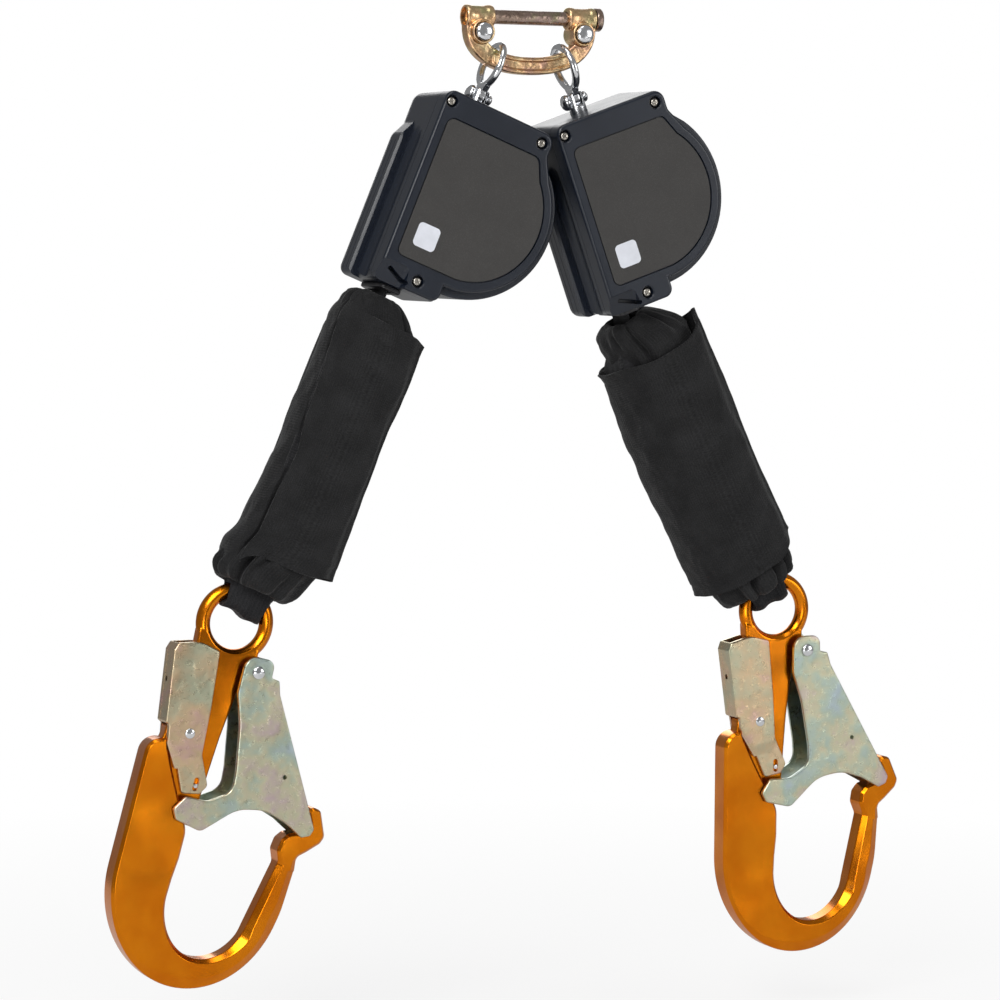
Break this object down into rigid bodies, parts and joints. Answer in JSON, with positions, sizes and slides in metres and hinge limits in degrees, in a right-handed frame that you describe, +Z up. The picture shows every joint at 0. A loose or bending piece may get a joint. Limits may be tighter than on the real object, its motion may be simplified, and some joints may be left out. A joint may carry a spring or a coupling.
{
  "type": "self retracting lifeline",
  "caption": "Twin-leg personal self retracting lifeline with a harness pin connector, swivelling reel housings, sleeved energy absorbers and double-action rebar hooks.",
  "frame": {"origin": "middle of the connector pin that carries the unit on a harness", "axes": "+X along the connector pin to the viewer's right, towards the pin's head; +Y away from the viewer, through the housings towards the wearer's back; +Z up"},
  "size_m": [0.5082, 0.058, 0.5702],
  "materials": {
    "yoke_plating": "zinc plated, warm passivation",
    "pin_plating": "zinc plated, browner",
    "chrome": "bright",
    "stainless": "satin",
    "housing_plastic": "satin slate",
    "label_film": "matte, fine speckle",
    "black_plastic": "satin",
    "inner_steel": "stamped",
    "spring_steel": "blued",
    "webbing": "woven tape",
    "sleeve_cloth": "coated woven cloth",
    "hook_anodised": "orange gold anodised, satin",
    "gate_plating": "pale yellow zinc",
    "lever_plating": "pale yellow zinc"
  },
  "bodies": {
    "yoke": {"yoke_body": "yoke_plating"},
    "pin": {"connector_pin": "pin_plating"},
    "button_left": {"lock_button_left": "chrome"},
    "button_right": {"lock_button_right": "chrome"},
    "left_eye": {"left_swivel_eye": "chrome"},
    "left_post": {"left_swivel_post": "chrome", "left_eye_pin": "chrome"},
    "left_housing": {"left_front_cover": "housing_plastic", "left_rear_cover": "housing_plastic", "left_label_plate": "label_film", "left_cover_screw_1": "stainless", "left_cover_screw_2": "stainless", "left_cover_screw_3": "stainless", "left_frame": "inner_steel", "left_reel_shaft": "inner_steel", "left_ratchet_ring": "inner_steel", "left_nozzle": "black_plastic", "left_power_spring": "spring_steel"},
    "left_drum_body": {"left_drum": "inner_steel", "left_wound_webbing": "webbing"},
    "left_pawl_body": {"left_pawl": "inner_steel"},
    "left_lead": {"left_webbing_lead": "webbing"},
    "left_absorber": {"left_absorber_pack": "webbing", "left_absorber_sleeve": "sleeve_cloth", "left_hook_loop": "webbing"},
    "left_hook": {"left_hook_body": "hook_anodised", "left_gate_rivet": "chrome", "left_lever_rivet": "chrome", "left_gate_spring": "spring_steel", "left_lever_spring": "spring_steel"},
    "left_gate_body": {"left_gate": "gate_plating"},
    "left_lever_body": {"left_lock_lever": "lever_plating"},
    "right_eye": {"right_swivel_eye": "chrome"},
    "right_post": {"right_swivel_post": "chrome", "right_eye_pin": "chrome"},
    "right_housing": {"right_front_cover": "housing_plastic", "right_rear_cover": "housing_plastic", "right_label_plate": "label_film", "right_cover_screw_1": "stainless", "right_cover_screw_2": "stainless", "right_cover_screw_3": "stainless", "right_frame": "inner_steel", "right_reel_shaft": "inner_steel", "right_ratchet_ring": "inner_steel", "right_nozzle": "black_plastic", "right_power_spring": "spring_steel"},
    "right_drum_body": {"right_drum": "inner_steel", "right_wound_webbing": "webbing"},
    "right_pawl_body": {"right_pawl": "inner_steel"},
    "right_lead": {"right_webbing_lead": "webbing"},
    "right_absorber": {"right_absorber_pack": "webbing", "right_absorber_sleeve": "sleeve_cloth", "right_hook_loop": "webbing"},
    "right_hook": {"right_hook_body": "hook_anodised", "right_gate_rivet": "chrome", "right_lever_rivet": "chrome", "right_gate_spring": "spring_steel", "right_lever_spring": "spring_steel"},
    "right_gate_body": {"right_gate": "gate_plating"},
    "right_lever_body": {"right_lock_lever": "lever_plating"}
  },
  "joints": [
    {"name": "pin_slide", "type": "slide", "parent": "yoke", "child": "pin", "axis": [1, 0, 0], "range_m": [0, 0.055]},
    {"name": "button_left_press", "type": "slide", "parent": "yoke", "child": "button_left", "axis": [0, 1, 0], "range_m": [0, 0.0028], "stiffness_N_per_m": 800, "springref_m": -0.002},
    {"name": "button_right_press", "type": "slide", "parent": "yoke", "child": "button_right", "axis": [0, 1, 0], "range_m": [0, 0.0028], "stiffness_N_per_m": 800, "springref_m": -0.002},
    {"name": "left_side_swing", "type": "hinge", "parent": "yoke", "child": "left_eye", "pos_m": [-0.01884, 0, -0.01639], "axis": [0, 1, 0], "range_deg": [0, 40]},
    {"name": "left_post_tilt", "type": "hinge", "parent": "left_eye", "child": "left_post", "pos_m": [-0.03123, 0, -0.04644], "axis": [0.9245, 0, -0.3811], "range_deg": [-8, 8]},
    {"name": "left_swivel", "type": "hinge", "parent": "left_post", "child": "left_housing", "pos_m": [-0.03599, 0, -0.058], "axis": [-0.3811, 0, -0.9245], "range_deg": [0, 90]},
    {"name": "left_payout", "type": "slide", "parent": "left_housing", "child": "left_lead", "axis": [-0.3811, 0, -0.9245], "range_m": [0, 1.8], "stiffness_N_per_m": 6, "springref_m": -2.6},
    {"name": "left_drum_spin", "type": "hinge", "parent": "left_housing", "child": "left_drum_body", "pos_m": [-0.04568, 0, -0.1109], "axis": [0, -1, 0], "range_deg": [0, 3960]},
    {"name": "left_pawl_swing", "type": "hinge", "parent": "left_drum_body", "child": "left_pawl_body", "pos_m": [-0.0373, -0.0156, -0.09056], "axis": [0, 1, 0], "range_deg": [0, 8], "stiffness_Nm_per_rad": 0.02, "springref_deg": -11.46},
    {"name": "left_absorber_sway", "type": "hinge", "parent": "left_lead", "child": "left_absorber", "pos_m": [-0.09428, 0, -0.16269], "axis": [0, 1, 0], "range_deg": [0, 25]},
    {"name": "left_hook_swing", "type": "hinge", "parent": "left_absorber", "child": "left_hook", "pos_m": [-0.18134, 0, -0.34939], "axis": [0, 1, 0], "range_deg": [-20, 25]},
    {"name": "left_gate_open", "type": "hinge", "parent": "left_hook", "child": "left_gate_body", "pos_m": [-0.17073, 0, -0.37743], "axis": [0, 1, 0], "range_deg": [0, 38], "stiffness_Nm_per_rad": 0.5, "springref_deg": -34.38},
    {"name": "left_lever_squeeze", "type": "hinge", "parent": "left_hook", "child": "left_lever_body", "pos_m": [-0.21075, 0, -0.411], "axis": [0, 1, 0], "range_deg": [0, 8], "deforming": ["left_lever_spring"]},
    {"name": "right_side_swing", "type": "hinge", "parent": "yoke", "child": "right_eye", "pos_m": [0.01899, 0, -0.01634], "axis": [0, -1, 0], "range_deg": [0, 28]},
    {"name": "right_post_tilt", "type": "hinge", "parent": "right_eye", "child": "right_post", "pos_m": [0.03, 0, -0.04692], "axis": [0.9409, 0, 0.3387], "range_deg": [-8, 8]},
    {"name": "right_swivel", "type": "hinge", "parent": "right_post", "child": "right_housing", "pos_m": [0.03424, 0, -0.05868], "axis": [-0.3387, 0, 0.9409], "range_deg": [0, 8]},
    {"name": "right_payout", "type": "slide", "parent": "right_housing", "child": "right_lead", "axis": [0.3387, 0, -0.9409], "range_m": [0, 1.8], "stiffness_N_per_m": 6, "springref_m": -2.6},
    {"name": "right_drum_spin", "type": "hinge", "parent": "right_housing", "child": "right_drum_body", "pos_m": [0.06259, 0, -0.10437], "axis": [0, -1, 0], "range_deg": [0, 3960]},
    {"name": "right_pawl_swing", "type": "hinge", "parent": "right_drum_body", "child": "right_pawl_body", "pos_m": [0.05514, -0.0156, -0.08367], "axis": [0, 1, 0], "range_deg": [0, 8], "stiffness_Nm_per_rad": 0.02, "springref_deg": -11.46},
    {"name": "right_absorber_sway", "type": "hinge", "parent": "right_lead", "child": "right_absorber", "pos_m": [0.06137, 0, -0.17538], "axis": [0, -1, 0], "range_deg": [0, 18]},
    {"name": "right_hook_swing", "type": "hinge", "parent": "right_absorber", "child": "right_hook", "pos_m": [0.16593, 0, -0.35288], "axis": [0, 1, 0], "range_deg": [-20, 25]},
    {"name": "right_gate_open", "type": "hinge", "parent": "right_hook", "child": "right_gate_body", "pos_m": [0.18347, 0, -0.37719], "axis": [0, 1, 0], "range_deg": [0, 38], "stiffness_Nm_per_rad": 0.5, "springref_deg": -34.38},
    {"name": "right_lever_squeeze", "type": "hinge", "parent": "right_hook", "child": "right_lever_body", "pos_m": [0.15358, 0, -0.42003], "axis": [0, 1, 0], "range_deg": [0, 8], "deforming": ["right_lever_spring"]}
  ],
  "couplings": [
    {"joint": "left_drum_spin", "follows": "left_payout", "rad_per_m": 38.39},
    {"joint": "left_lever_squeeze", "follows": "left_gate_open", "ratio": 0.21},
    {"joint": "right_drum_spin", "follows": "right_payout", "rad_per_m": 38.39},
    {"joint": "right_lever_squeeze", "follows": "right_gate_open", "ratio": 0.21}
  ]
}
